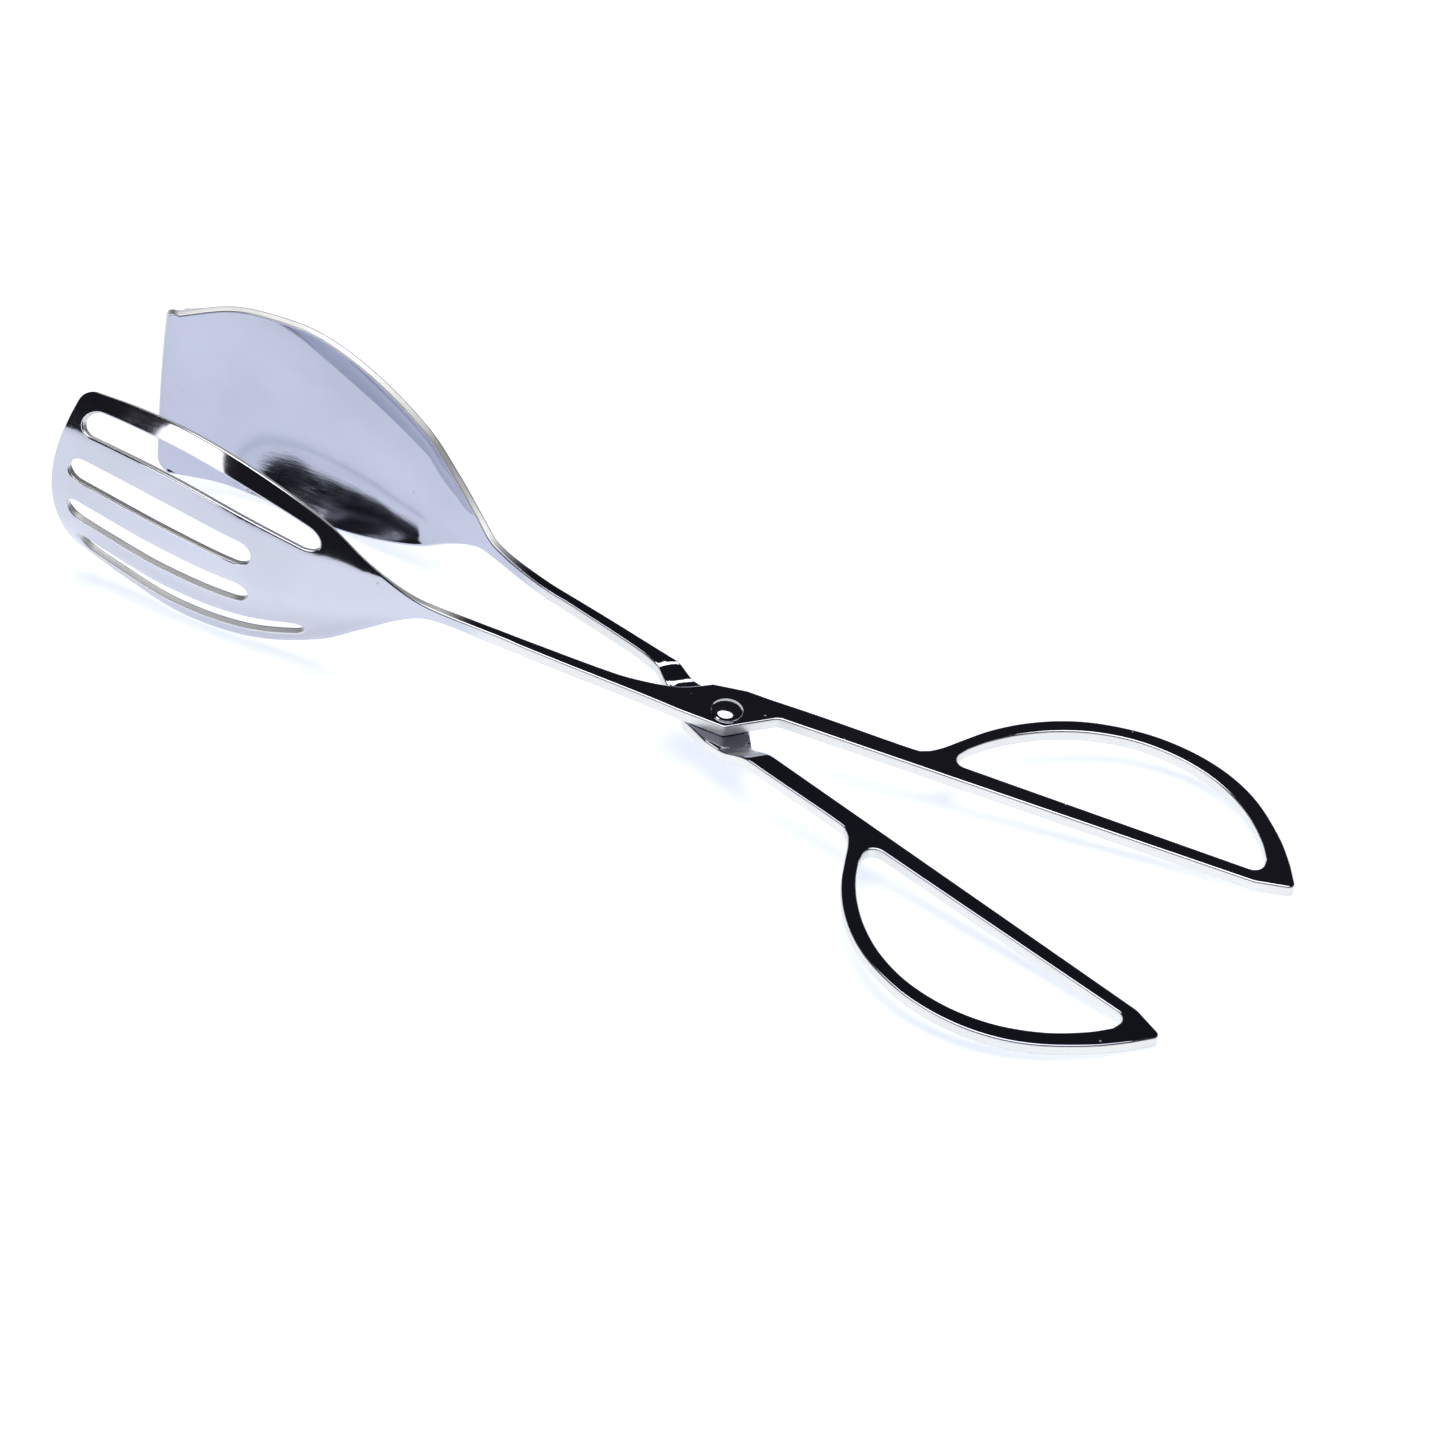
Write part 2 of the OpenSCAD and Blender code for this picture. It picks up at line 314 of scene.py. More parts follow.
class Head:
    """Mid surface of a pressed head: s runs along it, w across it from -1 to 1."""

    def __init__(self, table, depth, bow, lean):
        self.table = table
        self.depth = depth
        self.bow = bow
        self.lean = lean

    def blend(self, s):
        """0 at the arm, 1 where the head has its full form."""
        return ease((s - S_CUT) / (S_BLEND - S_CUT))

    def half_height(self, s):
        k = self.blend(s)
        return reading(self.table, s, 3) * HALF_H * k + STOCK / 2 * (1 - k)

    def thick(self, s):
        k = self.blend(s)
        return SHEET * k + CUT_W * (1 - k)

    def point(self, s, w, rounded=True):
        k = self.blend(s)
        start = reading(self.table, S_CUT, 1) + CUT_Y
        side = reading(self.table, s, 1) - start * (1 - k)
        side += self.depth * reading(self.table, s, 2) * (1 - w * w)
        x = -NECK - s * (HEAD_LEN - self.bow * w * w)
        if rounded:
            past = min(max(0.0, abs(w) * HALF_H - (HALF_H - END_R)), END_R)
            x += max(0.0, s) ** 4 * (END_R - math.sqrt(END_R**2 - past**2))
        rise = (w + self.lean * k) / (1 - self.lean * k)
        return Vector((x, -side, STOCK / 2 + rise * self.half_height(s)))

    def normal(self, s, w):
        """Points to the outer, convex side."""
        d = 0.004
        along = self.point(s + d, w, False) - self.point(s - d, w, False)
        across = self.point(s, w + d, False) - self.point(s, w - d, False)
        n = along.cross(across).normalized()
        return -n if n.y > 0 else n

    def flat(self, s, w):
        """The same point laid out flat, for triangulating."""
        return Vector((s * HEAD_LEN, w * self.half_height(s)))

    def unflat(self, p):
        s = p.x / HEAD_LEN
        return s, p.y / self.half_height(s)


# ---- mesh building -------------------------------------------------------------------------


# Vertices within a thousandth of a millimetre are welded. The shift keeps round values away from
# the border between two cells.
WELD_CELLS = 1000
WELD_SHIFT = 0.31

# Two points closer together than this give no direction
NO_LENGTH = 1e-6


class Skin:
    """Vertices with their own normals and a share of edge grind and painted sheen, welded by place.
    """

    def __init__(self):
        self.points = []
        self.normals = []
        self.grind_and_sheen = []
        self.faces = []
        self.index = {}

    def vert(self, p, n, grind_and_sheen):
        key = tuple(round(c * WELD_CELLS + WELD_SHIFT) for c in p)
        if key not in self.index:
            self.index[key] = len(self.points)
            self.points.append(p.copy())
            self.normals.append(n.normalized())
            self.grind_and_sheen.append(grind_and_sheen)
        return self.index[key]

    def face(self, *corners):
        kept = []
        for c in corners:
            if c not in kept:
                kept.append(c)
        if len(kept) < 3:
            return
        a, b, c = (self.points[k] for k in kept[:3])
        lean = sum((self.normals[k] for k in kept), Vector())
        geometric = (b - a).cross(c - a)
        if len(kept) == 4:
            geometric = (c - a).cross(self.points[kept[3]] - b)
        if geometric.dot(lean) < 0:
            kept.reverse()
        self.faces.append(kept)

    def build(self, name, mirrored, place, material):
        """The piece as an object: mirrored across y if asked, then moved by the matrix place."""
        flip = Matrix.Scale(-1, 4, (0, 1, 0)) if mirrored else Matrix.Identity(4)
        full = place @ flip
        turn = full.to_3x3()
        mesh = bpy.data.meshes.new(name)
        faces = [f[::-1] for f in self.faces] if mirrored else self.faces
        mesh.from_pydata([full @ p for p in self.points], [], faces)
        shell = bmesh.new()
        shell.from_mesh(mesh)
        bmesh.ops.recalc_face_normals(shell, faces=shell.faces)
        shell.to_mesh(mesh)
        shell.free()
        normals = [(turn @ n).normalized() for n in self.normals]
        mesh.shade_smooth()
        mesh.normals_split_custom_set_from_vertices(normals)
        # Share of edge grind and of painted sheen, read by the material
        grind_and_sheen = mesh.attributes.new("grind_and_sheen", "FLOAT", "POINT")
        grind_and_sheen.data.foreach_set("value", self.grind_and_sheen)
        mesh.materials.append(material)
        obj = bpy.data.objects.new(name, mesh)
        bpy.context.scene.collection.objects.link(obj)
        return obj


class Rim:
    """Boundary of a plate: flat places, mid points, face normals and outward directions."""

    def __init__(self, plate, flats, closed, outward):
        self.flats = flats
        self.closed = closed
        self.mids = [plate.mid(p) for p in flats]
        self.lean = [plate.lean(p) for p in flats]
        self.off = [plate.off(p) for p in flats]
        self.thick = [plate.thick(p) for p in flats]
        count = len(flats)
        self.out = []
        for i in range(count):
            before = self.mids[i - 1] if closed or i else self.mids[i]
            after = self.mids[(i + 1) % count] if closed or i < count - 1 else self.mids[i]
            here = self.mids[i]
            a = (here - before).normalized() if (here - before).length > NO_LENGTH else Vector()
            b = (after - here).normalized() if (after - here).length > NO_LENGTH else Vector()
            self.out.append((a + b).cross(self.off[i]).normalized())
        if outward(self) < 0:
            self.out = [-o for o in self.out]
        self.out_lean = [o.copy() for o in self.out]


def lay_plate(skin, plate, outer, holes, grid, margin):
    """A sheet with rounded edges along the outer path and round each hole."""
    rims = [outer] + holes
    columns = []
    for rim in rims:
        rows = []
        for i in range(len(rim.flats)):
            column = []
            for side in (1, -1):
                steps = range(EDGE_STEPS + 1)
                for k in steps if side > 0 else reversed(steps):
                    a = math.pi / 2 * k / EDGE_STEPS
                    p = rim.mids[i] + rim.out[i] * (EDGE_R * (math.sin(a) - 1))
                    p += rim.off[i] * side * (rim.thick[i] / 2 + EDGE_R * (math.cos(a) - 1))
                    n = rim.lean[i] * side * math.cos(a) + rim.out_lean[i] * math.sin(a)
                    column.append(skin.vert(p, n, plate.grind_and_sheen(rim.flats[i], a)))
            rows.append(column)
        count = len(rows)
        for i in range(count if rim.closed else count - 1):
            here = rows[i]
            after = rows[(i + 1) % count]
            for k in range(len(here) - 1):
                skin.face(here[k], here[k + 1], after[k + 1], after[k])
        columns.append(rows)

    # Each place on the plate owns one vertex on either face
    places = []
    loops = []
    owners = []
    for rim, rows in zip(rims, columns):
        start = len(places)
        places.extend(rim.flats)
        owners.extend((row[0], row[-1]) for row in rows)
        loops.append(list(range(start, len(places))))
    outlines = [[places[k] for k in loop] for loop in loops]
    on_rims = list(places)
    near = margin * margin
    for p in grid:
        if not inside(p, outlines[0]) or any(inside(p, h) for h in outlines[1:]):
            continue
        if any((q - p).length_squared < near for q in on_rims):
            continue
        place = plate.mid(p)
        lean = plate.lean(p)
        off = plate.off(p) * plate.thick(p) / 2
        places.append(p)
        shine = plate.grind_and_sheen(p, 0.0)
        owners.append((skin.vert(place + off, lean, shine), skin.vert(place - off, -lean, shine)))
    edges = []
    for loop in loops:
        edges.extend(zip(loop, loop[1:] + loop[:1]))
    for tri in kept_triangles(places, edges, outlines):
        skin.face(*[owners[k][0] for k in tri])
        skin.face(*[owners[k][1] for k in tri])


def kept_triangles(places, edges, outlines):
    """Triangles between the outline and its holes. Each region is judged by its largest triangle."""
    _, _, found, origin, _, _ = delaunay_2d_cdt(places, edges, [], 0, NO_LENGTH)
    triangles = [[origin[k][0] for k in tri] for tri in found]
    walls = {frozenset(edge) for edge in edges}
    by_edge = {}
    for i, tri in enumerate(triangles):
        for k in range(3):
            by_edge.setdefault(frozenset((tri[k - 1], tri[k])), []).append(i)
    seen = set()
    kept = []
    for start in range(len(triangles)):
        if start in seen:
            continue
        seen.add(start)
        region = [start]
        for i in region:
            tri = triangles[i]
            for k in range(3):
                edge = frozenset((tri[k - 1], tri[k]))
                if edge in walls:
                    continue
                for j in by_edge[edge]:
                    if j not in seen:
                        seen.add(j)
                        region.append(j)
        widest = max(region, key=lambda i: spread(places, triangles[i]))
        centre = sum((places[k] for k in triangles[widest]), Vector((0, 0))) / 3
        if inside(centre, outlines[0]) and not any(inside(centre, h) for h in outlines[1:]):
            kept.extend(triangles[i] for i in region)
    return kept


def spread(places, tri):
    """Twice the triangle's area."""
    a, b, c = (places[k] for k in tri)
    return abs((b - a).cross(c - a))


def inside(p, loop):
    """Whether a point lies inside a closed outline."""
    hit = False
    x, y = p
    x1, y1 = loop[-1]
    for x2, y2 in loop:
        if (y1 > y) != (y2 > y) and x < (x2 - x1) * (y - y1) / (y2 - y1) + x1:
            hit = not hit
        x1, y1 = x2, y2
    return hit


# Rows of equilateral triangles lie this share of a side apart
ROW_SHARE = 0.87


def grid_points(x0, x1, y0, y1, step):
    """Points in staggered rows over a rectangle."""
    out = []
    row = 0
    y = y0
    while y < y1:
        x = x0 + (row % 2) * step / 2
        while x < x1:
            out.append(Vector((x, y)))
            x += step
        y += step * ROW_SHARE
        row += 1
    return out


# How much of the edges' grind and painted sheen the handle-side bend shows
BEND_GRIND_AND_SHEEN = 0.9


class ArmPlate:
    """Flat arm, set down under the other one if lowered."""

    def __init__(self, lowered):
        self.lowered = lowered

    def drop(self, p):
        return (STOCK + FACE_GAP) * set_down(p.x, p.y) if self.lowered else 0.0

    def mid(self, p):
        return Vector((p.x, p.y, STOCK / 2 - self.drop(p)))

    def lean(self, p):
        d = 0.05
        dx = self.drop(p + Vector((d, 0))) - self.drop(p - Vector((d, 0)))
        dy = self.drop(p + Vector((0, d))) - self.drop(p - Vector((0, d)))
        return Vector((dx / (2 * d), dy / (2 * d), 1)).normalized()

    def off(self, p):
        return Vector((0, 0, 1))

    def thick(self, p):
        return STOCK

    # 1 on the rounded edges and raised on the handle-side bend: duller there, and painted lighter
    def grind_and_sheen(self, p, a):
        bend = handle_bend(p.x, p.y) if self.lowered else 0.0
        return max(math.sin(a), BEND_GRIND_AND_SHEEN * bend)


class HeadPlate:
    """Dished head, as thick as the arm is wide where the two meet."""

    def __init__(self, head):
        self.head = head

    def mid(self, p):
        return self.head.point(*self.head.unflat(p))

    def lean(self, p):
        return self.head.normal(*self.head.unflat(p))

    def off(self, p):
        return self.lean(p)

    def thick(self, p):
        return self.head.thick(p.x / HEAD_LEN)

    def grind_and_sheen(self, p, a):
        k = ease((p.x / HEAD_LEN - S_CUT) / (S_POLISH - S_CUT))
        return k * math.sin(a) + (1 - k) * math.cos(a)


# Meshing: point spacing along the arm's outlines, sides of the rivet's bore, and the grid over
# the ramps of the set-down, with its least distance from an outline
ARM_STEP = 0.9
BORE_SIDES = 40
RAMP_AREA = (-24, 24, -14, 16)
RAMP_STEP = 0.7
RAMP_MARGIN = 0.75
FLAT_SHARE = 0.002


def lay_arm(skin, lowered):
    plate = ArmPlate(lowered)
    path = refine(arm_path(), ARM_STEP, False)
    outer = Rim(plate, path, False, lambda rim: -rim.out[0].y)
    outer.out[0] = Vector((0, -1, 0))
    outer.out[-1] = Vector((0, 1, 0))
    loop = refine(loop_hole(), ARM_STEP, True)
    finger = Rim(plate, loop, True, lambda rim: rim.out[0].dot(LOOP_CENTRE - rim.mids[0]))
    bore_r = SHANK_R + RUN_GAP if lowered else SHANK_R
    ring = []
    for k in range(BORE_SIDES):
        a = 2 * math.pi * k / BORE_SIDES
        ring.append(Vector((bore_r * math.cos(a), bore_r * math.sin(a))))
    bore = Rim(plate, ring, True, lambda rim: -rim.out[0].x)
    grid = []
    if lowered:
        for p in grid_points(*RAMP_AREA, RAMP_STEP):
            if FLAT_SHARE < set_down(p.x, p.y) < 1 - FLAT_SHARE:
                grid.append(p)
    lay_plate(skin, plate, outer, [finger, bore], grid, RAMP_MARGIN)


# Meshing of the heads: pieces along a rim, round an end corner and across the end, round a slot's
# end and along its side, then the grids of the scoop and of the blade and their least distance
# from an outline
RIM_STEPS = 84
END_CORNER_STEPS = 12
END_STEPS = 28
SLOT_END_STEPS = 14
SLOT_SIDE_STEPS = 44
SCOOP_STEP = 1.5
BLADE_STEP = 1.8
HEAD_MARGIN = 1.15


def head_outline(head):
    """Flat outline of a head from the cut along its upper rim, down its end and back."""
    shares = [S_CUT + (1 - S_CUT) * k / RIM_STEPS for k in range(RIM_STEPS)]
    upper = [head.flat(s, 1) for s in shares]
    corner_w = END_R / HALF_H
    round_corner = []
    for k in range(END_CORNER_STEPS):
        a = math.pi / 2 * (1 - k / END_CORNER_STEPS)
        round_corner.append(1 - corner_w * (1 - math.sin(a)))
    end = [(1 - corner_w) * (1 - 2 * k / END_STEPS) for k in range(END_STEPS + 1)]
    end = round_corner + end + [-w for w in reversed(round_corner)]
    across = [head.flat(1, w) for w in end]
    lower = [head.flat(s, -1) for s in reversed(shares)]
    return upper + across + lower


def slot_outline(head, row):
    """Flat outline of a slot: long sides that follow the rims, and round ends."""
    pitch, near, far = row
    half_w = SLOT_W / 2 / HALF_H
    mid_w = pitch * SLOT_PITCH / HALF_H
    out = []
    for end, other, way in ((far, near, 1), (near, far, -1)):
        start = end - way * SLOT_END
        for k in range(SLOT_END_STEPS + 1):
            a = math.pi * k / SLOT_END_STEPS
            s = start + way * SLOT_END * math.sin(a)
            out.append(head.flat(s, mid_w + way * half_w * math.cos(a)))
        for k in range(1, SLOT_SIDE_STEPS):
            s = start + (other - end + way * 2 * SLOT_END) * k / SLOT_SIDE_STEPS
            out.append(head.flat(s, mid_w - way * half_w))
    return out


def lay_head(skin, head, slots):
    plate = HeadPlate(head)
    outline = head_outline(head)
    outer = Rim(plate, outline, False, lambda rim: -rim.out[len(rim.out) // 2].x)
    # At the cut the rim's two ends are the arm's upper and lower faces
    for k, z in ((0, 1), (-1, -1)):
        outer.mids[k] = Vector((CUT_X, CUT_Y, STOCK / 2 + z * STOCK / 2))
        outer.out[k] = Vector((0, 0, z))
        outer.off[k] = Vector((0, -1, 0))
        outer.thick[k] = CUT_W
    holes = []
    for row in slots:
        loop = slot_outline(head, row)
        middle = plate.mid(sum(loop, Vector((0, 0))) / len(loop))
        k = SLOT_END_STEPS
        holes.append(Rim(plate, loop, True, lambda rim: rim.out[k].dot(middle - rim.mids[k])))
    step = SCOOP_STEP if slots else BLADE_STEP
    grid = grid_points(0, HEAD_LEN, -HALF_H, HALF_H, step)
    lay_plate(skin, plate, outer, holes, grid, HEAD_MARGIN)


# ---- rivet ---------------------------------------------------------------------------------

# Pieces up the dome, round the tail's edge, and round the axis
DOME_STEPS = 14
TAIL_STEPS = 8
RIVET_SIDES = 56

# Upright lip under the dome, and play between its foot and the shank
LIP = 0.04
PLAY = 0.1

# Tail: heights of its upper face, its shoulder, its widest line and its end, how far the upper
# face and the shoulder lie inside its radius, and the size of its rounded lower edge
TAIL_TOP = -STOCK - FACE_GAP - RUN_GAP
TAIL_SHOULDER = TAIL_TOP - 0.04
TAIL_WIDEST = TAIL_TOP - 0.15
TAIL_END = TAIL_TOP - 0.8
TAIL_TOP_INSET = 0.2
TAIL_SHOULDER_INSET = 0.05
TAIL_EDGE_R = 0.8
TAIL_EDGE_H = 0.7

# The tail's end is very slightly hollow
HOLLOW_R = 1.2
HOLLOW_H = 0.03


def rivet_profile():
    """Half section from the top of the dome to the middle of the tail."""
    out = [(0.0, STOCK + DOME_H)]
    for k in range(1, DOME_STEPS + 1):
        a = math.pi / 2 * (1 - k / DOME_STEPS)
        out.append((DOME_R * math.cos(a), STOCK + LIP + (DOME_H - LIP) * math.sin(a)))
    out += [
        (DOME_R - LIP, STOCK),
        (SHANK_R + PLAY, STOCK),
        (SHANK_R, STOCK - PLAY),
        (SHANK_R, -STOCK),
        (SHANK_R + RUN_GAP, TAIL_TOP),
        (TAIL_R - TAIL_TOP_INSET, TAIL_TOP),
        (TAIL_R - TAIL_SHOULDER_INSET, TAIL_SHOULDER),
        (TAIL_R, TAIL_WIDEST),
    ]
    for k in range(1, TAIL_STEPS + 1):
        a = math.pi / 2 * k / TAIL_STEPS
        r = TAIL_R - TAIL_EDGE_R + TAIL_EDGE_R * math.cos(a)
        out.append((r, TAIL_WIDEST - TAIL_EDGE_H * math.sin(a)))
    out += [(HOLLOW_R, TAIL_END - HOLLOW_H), (0.0, TAIL_END)]
    return out


def lay_rivet(skin):
    """The profile turned round the hinge axis."""
    profile = [Vector(p) for p in rivet_profile()]
    last = len(profile) - 1
    rings = []
    for i, p in enumerate(profile):
        a = (p - profile[i - 1]).normalized() if i else Vector((0, 0))
        b = (profile[i + 1] - p).normalized() if i < last else Vector((0, 0))
        t = (a + b).normalized()
        if p.x < NO_LENGTH:
            t = Vector((-1, 0)) if i else Vector((1, 0))
        ring = []
        for k in range(RIVET_SIDES):
            c = math.cos(2 * math.pi * k / RIVET_SIDES)
            s = math.sin(2 * math.pi * k / RIVET_SIDES)
            n = Vector((-t.y * c, -t.y * s, t.x))
            ring.append(skin.vert(Vector((p.x * c, p.x * s, p.y)), n, 0.0))
        rings.append(ring)
    for upper, lower in zip(rings, rings[1:]):
        for k in range(RIVET_SIDES):
            after = (k + 1) % RIVET_SIDES
            skin.face(upper[k], upper[after], lower[after], lower[k])


# ---- finish --------------------------------------------------------------------------------


# Size of each kind of mark: stretch along x, y and z, detail, and how many fit in a metre.
# Wiping marks and scratches run along the tongs.
WIPING = ((1, 14, 14), 5, 130)
SCRATCHES = ((1, 30, 30), 2, 700)
SMUDGES = ((1, 1, 1), 3, 45)
WAVES = ((1, 1, 1), 1, 90)

# Most that each kind of mark adds to the roughness. Edges keep the dull surface of their grinding.
WIPING_ROUGH = 0.03
SMUDGE_ROUGH = 0.05
SCRATCH_ROUGH = 0.06
GRIND_ROUGH = 0.45
DUST_ROUGH = 0.4

# Dust: cells in a metre, share of a cell that a speck fills, and share of cells without one
DUST_SCALE = 260
SPECK_FULL = 0.05
SPECK_GONE = 0.09
CLEAN_CELLS = 0.72

# Depth of the surface's waves in metres, and the parts that slow waves and wiping marks have in it
BUMP_DEPTH = 0.00002
BUMP_STRENGTH = 0.5
WAVE_PART = 2.2
WIPING_PART = 0.35

# The lighter edge tints are painted sheen: they make the edges and the handle-side bend look bright
EDGE_SHEEN_TINT = (0.82, 0.82, 0.80, 1)
RIVET_EDGE_SHEEN_TINT = (0.9, 0.9, 0.88, 1)


def steel(name, tint, edge_sheen_tint, rough):
    """Polished steel with wiping marks, scratches, smudges and dust, and duller ground edges with a
    lighter tint that is painted sheen.
    """
    mat = bpy.data.materials.new(name)
    mat.use_nodes = True
    nodes = mat.node_tree.nodes
    links = mat.node_tree.links
    shader = nodes["Principled BSDF"]
    shader.inputs["Metallic"].default_value = 1.0
    coords = nodes.new("ShaderNodeTexCoord")

    def noise(scale, detail, size):
        mapping = nodes.new("ShaderNodeMapping")
        mapping.inputs["Scale"].default_value = scale
        links.new(coords.outputs["Object"], mapping.inputs["Vector"])
        tex = nodes.new("ShaderNodeTexNoise")
        tex.inputs["Scale"].default_value = size
        tex.inputs["Detail"].default_value = detail
        links.new(mapping.outputs["Vector"], tex.inputs["Vector"])
        return tex.outputs["Fac"]

    def ramp(value, low, high, out_low, out_high):
        node = nodes.new("ShaderNodeMapRange")
        node.inputs["From Min"].default_value = low
        node.inputs["From Max"].default_value = high
        node.inputs["To Min"].default_value = out_low
        node.inputs["To Max"].default_value = out_high
        links.new(value, node.inputs["Value"])
        return node.outputs["Result"]

    def combine(operation, a, b):
        node = nodes.new("ShaderNodeMath")
        node.operation = operation
        links.new(a, node.inputs[0])
        links.new(b, node.inputs[1])
        return node.outputs[0]

    wiping = noise(*WIPING)
    scratches = noise(*SCRATCHES)
    smudge = noise(*SMUDGES)
    waves = noise(*WAVES)
    grind_and_sheen = nodes.new("ShaderNodeAttribute")
    grind_and_sheen.attribute_name = "grind_and_sheen"

    # Colour: the face's tint goes over to the lighter edge tint, a painted sheen on the edges and the
    # handle-side bend, and smudges vary both a little
    mixed = nodes.new("ShaderNodeMix")
    mixed.data_type = "RGBA"
    mixed.inputs["A"].default_value = tint
    mixed.inputs["B"].default_value = edge_sheen_tint
    links.new(ramp(grind_and_sheen.outputs["Fac"], 0.45, 1.0, 0, 1), mixed.inputs["Factor"])
    shade = nodes.new("ShaderNodeMix")
    shade.data_type = "RGBA"
    shade.blend_type = "MULTIPLY"
    shade.inputs["Factor"].default_value = 1.0
    links.new(mixed.outputs["Result"], shade.inputs["A"])
    links.new(ramp(smudge, 0.3, 0.7, 0.93, 1.03), shade.inputs["B"])
    links.new(shade.outputs["Result"], shader.inputs["Base Color"])

    # Dust: one round speck in some of the cells
    specks = nodes.new("ShaderNodeTexVoronoi")
    specks.inputs["Scale"].default_value = DUST_SCALE
    links.new(coords.outputs["Object"], specks.inputs["Vector"])
    dots = ramp(specks.outputs["Distance"], SPECK_FULL, SPECK_GONE, 1, 0)
    chosen = nodes.new("ShaderNodeMath")
    chosen.operation = "GREATER_THAN"
    chosen.inputs[1].default_value = CLEAN_CELLS
    links.new(specks.outputs["Color"], chosen.inputs[0])
    dust = combine("MULTIPLY", dots, chosen.outputs[0])

    # Roughness: the steel's own, and what each kind of mark adds
    total = ramp(scratches, 0.55, 0.7, rough, rough + SCRATCH_ROUGH)
    for part in (
        ramp(wiping, 0.3, 0.7, 0, WIPING_ROUGH),
        ramp(smudge, 0.45, 0.75, 0, SMUDGE_ROUGH),
        ramp(grind_and_sheen.outputs["Fac"], 0.35, 1.0, 0, GRIND_ROUGH),
        ramp(dust, 0, 1, 0, DUST_ROUGH),
    ):
        total = combine("ADD", total, part)
    links.new(total, shader.inputs["Roughness"])

    bump = nodes.new("ShaderNodeBump")
    bump.inputs["Strength"].default_value = BUMP_STRENGTH
    bump.inputs["Distance"].default_value = BUMP_DEPTH
    height = combine("ADD", ramp(waves, 0, 1, 0, WAVE_PART), ramp(wiping, 0, 1, 0, WIPING_PART))
    links.new(height, bump.inputs["Height"])
    links.new(bump.outputs["Normal"], shader.inputs["Normal"])
    return mat


# The slotted half's tint is a little lighter than the blade half's: painted light that makes its
# scoop and webs look lighter, though both halves are the same steel
slotted_look = steel("slotted_steel", (0.573, 0.583, 0.659, 1), EDGE_SHEEN_TINT, 0.03)
blade_look = steel("blade_steel", (0.47, 0.49, 0.59, 1), EDGE_SHEEN_TINT, 0.03)
rivet_look = steel("rivet_steel", (0.62, 0.63, 0.68, 1), RIVET_EDGE_SHEEN_TINT, 0.05)

# ---- pieces --------------------------------------------------------------------------------

# The record's hinge places all three pieces
hinge = frame["joints"][0]
axis = Vector(hinge["axis"])
forward = Vector((0, 1, 0)).cross(axis).normalized()
sideways = axis.cross(forward)
turn = Matrix((forward, sideways, axis)).transposed().to_4x4()
place = Matrix.Translation(Vector(hinge["pos_m"])) @ turn @ Matrix.Scale(MM, 4)

slotted = Skin()
lay_arm(slotted, False)
lay_head(slotted, Head(SCOOP, SCOOP_DEPTH, SCOOP_BOW, SCOOP_LEAN), SLOTS)
slotted_piece = slotted.build("slotted_tong", False, place, slotted_look)

blade = Skin()
lay_arm(blade, True)
lay_head(blade, Head(BLADE, BLADE_DEPTH, BLADE_BOW, BLADE_LEAN), [])
blade_piece = blade.build("blade_tong", True, place, blade_look)

rivet = Skin()
lay_rivet(rivet)
rivet_piece = rivet.build("domed_rivet", False, place, rivet_look)

for piece, node, body, slot in (
    (slotted_piece, "slotted_half", "slotted_body", "polished_steel"),
    (blade_piece, "blade_half", "blade_body", "polished_steel"),
    (rivet_piece, "rivet", "slotted_body", "rivet_steel"),
):
    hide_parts(node)
    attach(piece, body)

# ---- floor, cards, light and camera --------------------------------------------------------


FLOOR_SIZE = 4.0
CAMERA_PLACE = (0.67076, -1.05818, 1.01451)
CAMERA_LOOK = Vector((-0.40970, 0.66177, -0.62786))
CAMERA_RIGHT = Vector((0.84483, 0.53489, 0.01251))
CAMERA_UP = Vector((-0.34412, 0.52530, 0.77823))


def rectangle(name, size_x, size_y, location, facing):
    """Upright or lying rectangle that isn't part of the object."""
    mesh = bpy.data.meshes.new(name)
    x = size_x / 2
    y = size_y / 2
    mesh.from_pydata([(-x, -y, 0), (x, -y, 0), (x, y, 0), (-x, y, 0)], [], [(0, 1, 2, 3)])
    obj = bpy.data.objects.new(name, mesh)
    obj.location = location
    obj.rotation_mode = "QUATERNION"
    obj.rotation_quaternion = Vector(facing).to_track_quat("Z", "Y")
    bpy.context.scene.collection.objects.link(obj)
    return obj


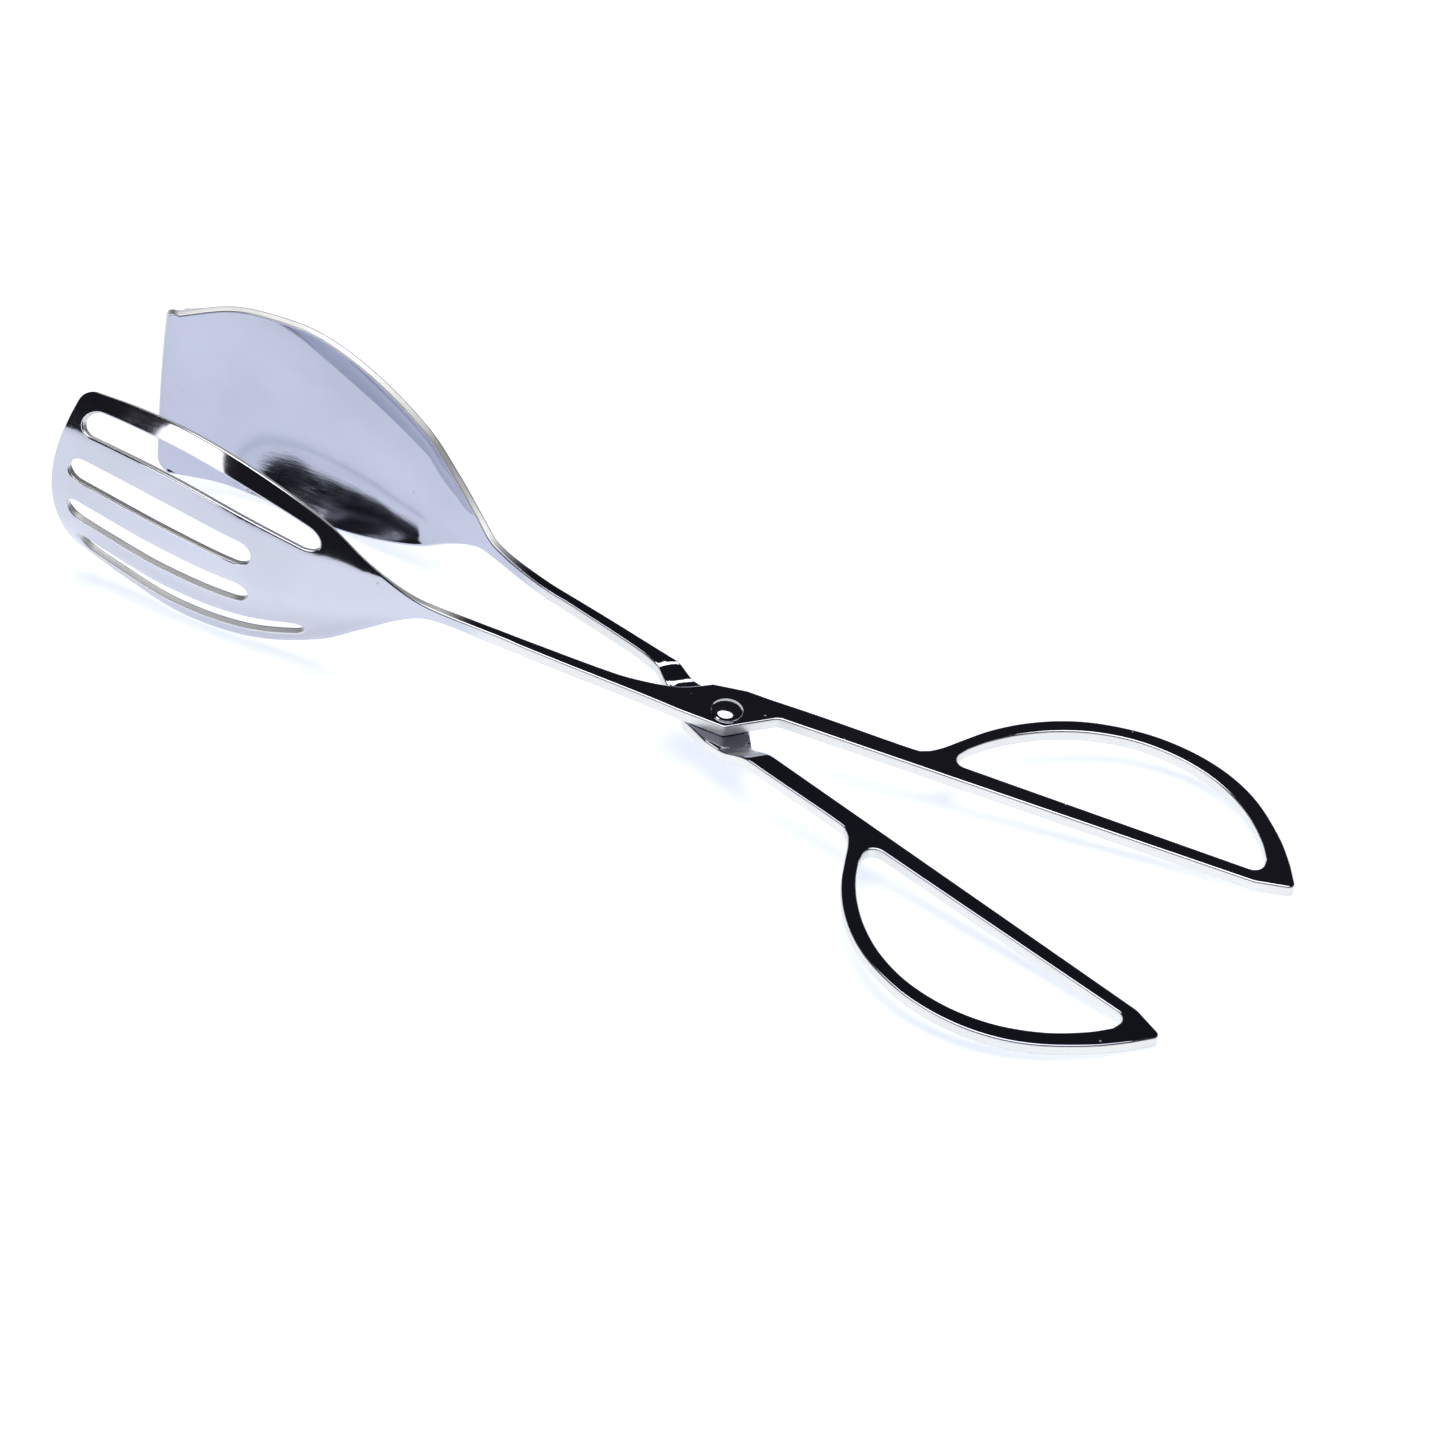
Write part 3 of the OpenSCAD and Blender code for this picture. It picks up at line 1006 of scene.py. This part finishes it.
def card(name, size_x, size_y, location, look):
    """Glowing card that faces the tongs and shows only in their reflections."""
    obj = rectangle(name, size_x, size_y, location, -Vector(location))
    obj.data.materials.append(look)
    obj.visible_camera = False
    obj.visible_diffuse = False
    obj.visible_shadow = False


def glow(name, colour, strength, diffuse):
    """Matt surface that also gives off light."""
    mat = bpy.data.materials.new(name)
    mat.use_nodes = True
    shader = mat.node_tree.nodes["Principled BSDF"]
    shader.inputs["Base Color"].default_value = (diffuse, diffuse, diffuse, 1)
    shader.inputs["Roughness"].default_value = 0.9
    shader.inputs["Specular IOR Level"].default_value = 0.0
    shader.inputs["Emission Color"].default_value = colour
    shader.inputs["Emission Strength"].default_value = strength
    return mat


floor = rectangle("floor", FLOOR_SIZE, FLOOR_SIZE, (0, 0, 0), (0, 0, 1))
floor.data.materials.append(glow("floor_white", (0.86, 0.91, 1.0, 1), 0.78, 0.85))

white = glow("card_white", (1, 1, 0.97, 1), 2.2, 0.2)
card("side_card", 1.05, 1.6, (-1.25, -2.75, 0.82), white)
grey = glow("card_grey", (0.95, 0.98, 1, 1), 0.8, 0.2)
card("back_card", 4.0, 1.0, (-1.1, 2.85, 0.55), grey)

lamp_data = bpy.data.lights.new("overhead", "AREA")
lamp_data.shape = "DISK"
lamp_data.size = 1.5
lamp_data.energy = 17
lamp = bpy.data.objects.new("overhead", lamp_data)
lamp.location = (0, 0, 1.6)
bpy.context.scene.collection.objects.link(lamp)

world = bpy.data.worlds.new("studio")
world.use_nodes = True
world.node_tree.nodes["Background"].inputs["Color"].default_value = (0.014, 0.014, 0.018, 1)
bpy.context.scene.world = world

camera_data = bpy.data.cameras.new("photo_camera")
camera_data.lens = 199.3
camera_data.sensor_width = 36
camera_data.clip_end = 20
camera = bpy.data.objects.new("photo_camera", camera_data)
camera_turn = Matrix((CAMERA_RIGHT, CAMERA_UP, -CAMERA_LOOK)).transposed().to_4x4()
camera.matrix_world = Matrix.Translation(CAMERA_PLACE) @ camera_turn
bpy.context.scene.collection.objects.link(camera)
bpy.context.scene.camera = camera

bpy.context.scene.view_settings.view_transform = "Standard"
bpy.context.scene.view_settings.look = "None"
